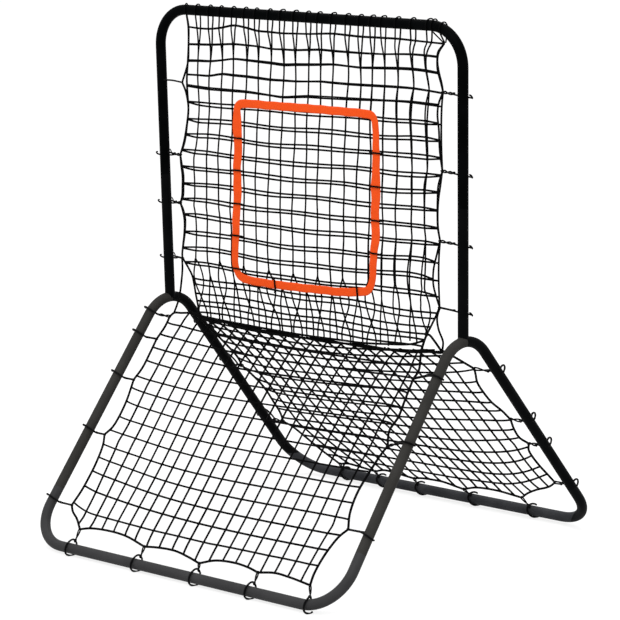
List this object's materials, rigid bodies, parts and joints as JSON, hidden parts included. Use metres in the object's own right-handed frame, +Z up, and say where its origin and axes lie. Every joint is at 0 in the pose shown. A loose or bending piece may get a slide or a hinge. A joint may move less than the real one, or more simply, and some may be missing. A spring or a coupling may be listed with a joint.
{
  "type": "pitch back rebounder",
  "caption": "Free-standing ball rebounder: bent steel tube frame with a tall net and target, and two sloping lower nets, all held by hooks and elastic loops.",
  "frame": {"origin": "centre of the footprint, on the ground", "axes": "+X to the right end as seen from the front, +Y to the rear, +Z up"},
  "size_m": [1.1215, 1.1, 1.4236],
  "materials": {
    "frame_steel": "black powder coat, satin",
    "sleeve_steel": "plain steel",
    "button_steel": "plated",
    "spring_steel": "spring steel",
    "net_cord": "braided black cord",
    "rope": "braided black rope",
    "orange_webbing": "woven orange webbing",
    "hook_wire": "black coated wire",
    "elastic_cord": "black covered elastic"
  },
  "bodies": {
    "frame": {"top_bow": "frame_steel", "upright_left": "frame_steel", "upright_right": "frame_steel", "side_arch_left": "frame_steel", "side_arch_right": "frame_steel", "front_ground_bar": "frame_steel", "rear_ground_bar": "frame_steel", "bow_sleeve_left": "sleeve_steel", "bow_sleeve_right": "sleeve_steel", "leg_sleeve_front_left": "sleeve_steel", "leg_sleeve_rear_left": "sleeve_steel", "leg_sleeve_front_right": "sleeve_steel", "leg_sleeve_rear_right": "sleeve_steel", "apex_spigot_left": "sleeve_steel", "apex_spigot_right": "sleeve_steel", "button_spring_apex_left": "spring_steel", "button_spring_bow_left": "spring_steel", "button_spring_front_left": "spring_steel", "button_spring_rear_left": "spring_steel", "button_spring_apex_right": "spring_steel", "button_spring_bow_right": "spring_steel", "button_spring_front_right": "spring_steel", "button_spring_rear_right": "spring_steel", "upper_net_front": "net_cord", "upper_net_rear": "net_cord", "lower_net_front": "net_cord", "lower_net_rear": "net_cord", "upper_edge_rope_front": "rope", "upper_edge_rope_rear": "rope", "lower_edge_rope_front": "rope", "lower_edge_rope_rear": "rope", "ridge_rope": "rope", "top_lacing": "rope", "target_band": "orange_webbing", "hooks_left_upright": "hook_wire", "hooks_right_upright": "hook_wire", "hooks_front_left_leg": "hook_wire", "hooks_front_right_leg": "hook_wire", "hooks_rear_left_leg": "hook_wire", "hooks_rear_right_leg": "hook_wire", "hooks_front_bar": "hook_wire", "hooks_rear_bar": "hook_wire", "elastic_ties_left_upright": "elastic_cord", "elastic_ties_right_upright": "elastic_cord", "elastic_ties_front_left_leg": "elastic_cord", "elastic_ties_front_right_leg": "elastic_cord", "elastic_ties_rear_left_leg": "elastic_cord", "elastic_ties_rear_right_leg": "elastic_cord", "elastic_ties_front_bar": "elastic_cord", "elastic_ties_rear_bar": "elastic_cord"},
    "button_front_left": {"snap_button_front_left": "button_steel"},
    "button_rear_left": {"snap_button_rear_left": "button_steel"},
    "button_apex_left": {"snap_button_apex_left": "button_steel"},
    "button_bow_left": {"snap_button_bow_left": "button_steel"},
    "button_front_right": {"snap_button_front_right": "button_steel"},
    "button_rear_right": {"snap_button_rear_right": "button_steel"},
    "button_apex_right": {"snap_button_apex_right": "button_steel"},
    "button_bow_right": {"snap_button_bow_right": "button_steel"}
  },
  "joints": [
    {"name": "button_front_left_press", "type": "slide", "parent": "frame", "child": "button_front_left", "axis": [0.9995, 0, -0.0325], "range_m": [0, 0.0045], "stiffness_N_per_m": 1500, "springref_m": -0.003, "deforming": ["button_spring_front_left"]},
    {"name": "button_rear_left_press", "type": "slide", "parent": "frame", "child": "button_rear_left", "axis": [0.9995, 0, -0.0325], "range_m": [0, 0.0045], "stiffness_N_per_m": 1500, "springref_m": -0.003, "deforming": ["button_spring_rear_left"]},
    {"name": "button_apex_left_press", "type": "slide", "parent": "frame", "child": "button_apex_left", "axis": [0, -1, 0], "range_m": [0, 0.0045], "stiffness_N_per_m": 1500, "springref_m": -0.003, "deforming": ["button_spring_apex_left"]},
    {"name": "button_bow_left_press", "type": "slide", "parent": "frame", "child": "button_bow_left", "axis": [0, -1, 0], "range_m": [0, 0.0045], "stiffness_N_per_m": 1500, "springref_m": -0.003, "deforming": ["button_spring_bow_left"]},
    {"name": "button_front_right_press", "type": "slide", "parent": "frame", "child": "button_front_right", "axis": [0.9995, 0, 0.0325], "range_m": [0, 0.0045], "stiffness_N_per_m": 1500, "springref_m": -0.003, "deforming": ["button_spring_front_right"]},
    {"name": "button_rear_right_press", "type": "slide", "parent": "frame", "child": "button_rear_right", "axis": [0.9995, 0, 0.0325], "range_m": [0, 0.0045], "stiffness_N_per_m": 1500, "springref_m": -0.003, "deforming": ["button_spring_rear_right"]},
    {"name": "button_apex_right_press", "type": "slide", "parent": "frame", "child": "button_apex_right", "axis": [0, -1, 0], "range_m": [0, 0.0045], "stiffness_N_per_m": 1500, "springref_m": -0.003, "deforming": ["button_spring_apex_right"]},
    {"name": "button_bow_right_press", "type": "slide", "parent": "frame", "child": "button_bow_right", "axis": [0, -1, 0], "range_m": [0, 0.0045], "stiffness_N_per_m": 1500, "springref_m": -0.003, "deforming": ["button_spring_bow_right"]}
  ]
}
